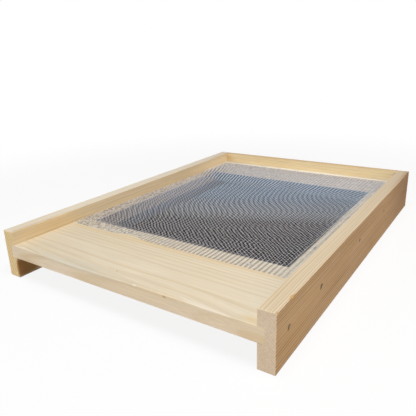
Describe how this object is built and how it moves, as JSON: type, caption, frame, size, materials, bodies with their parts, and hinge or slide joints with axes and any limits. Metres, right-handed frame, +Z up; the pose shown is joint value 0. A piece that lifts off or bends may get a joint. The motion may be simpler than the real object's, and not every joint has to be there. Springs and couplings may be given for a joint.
{
  "type": "screened bottom board",
  "caption": "Wooden floor for a beehive: grooved side rails hold a floor framed round an open bay that is covered with wire cloth, open in front as the entrance and closed behind by a bar.",
  "frame": {"origin": "middle of the footprint, on the surface that the rails stand on", "axes": "+X to the right seen from the entrance, +Y from the entrance to the closed back, +Z up"},
  "size_m": [0.413, 0.572, 0.068],
  "materials": {
    "pine_rails": "planed bare pine",
    "pine_floor": "planed bare pine",
    "galvanised_wire": "galvanised, matt",
    "staple_steel": "galvanised, worn"
  },
  "bodies": {
    "root": {"left_side_rail": "pine_rails", "right_side_rail": "pine_rails", "rear_bar": "pine_rails", "front_landing_board": "pine_floor", "rear_floor_board": "pine_floor", "left_screen_cleat": "pine_floor", "right_screen_cleat": "pine_floor", "wire_screen": "galvanised_wire", "left_rail_staples": "staple_steel", "right_rail_staples": "staple_steel", "rear_bar_staples": "staple_steel", "screen_front_staples": "staple_steel", "screen_rear_staples": "staple_steel", "screen_left_staples": "staple_steel", "screen_right_staples": "staple_steel"}
  },
  "joints": []
}
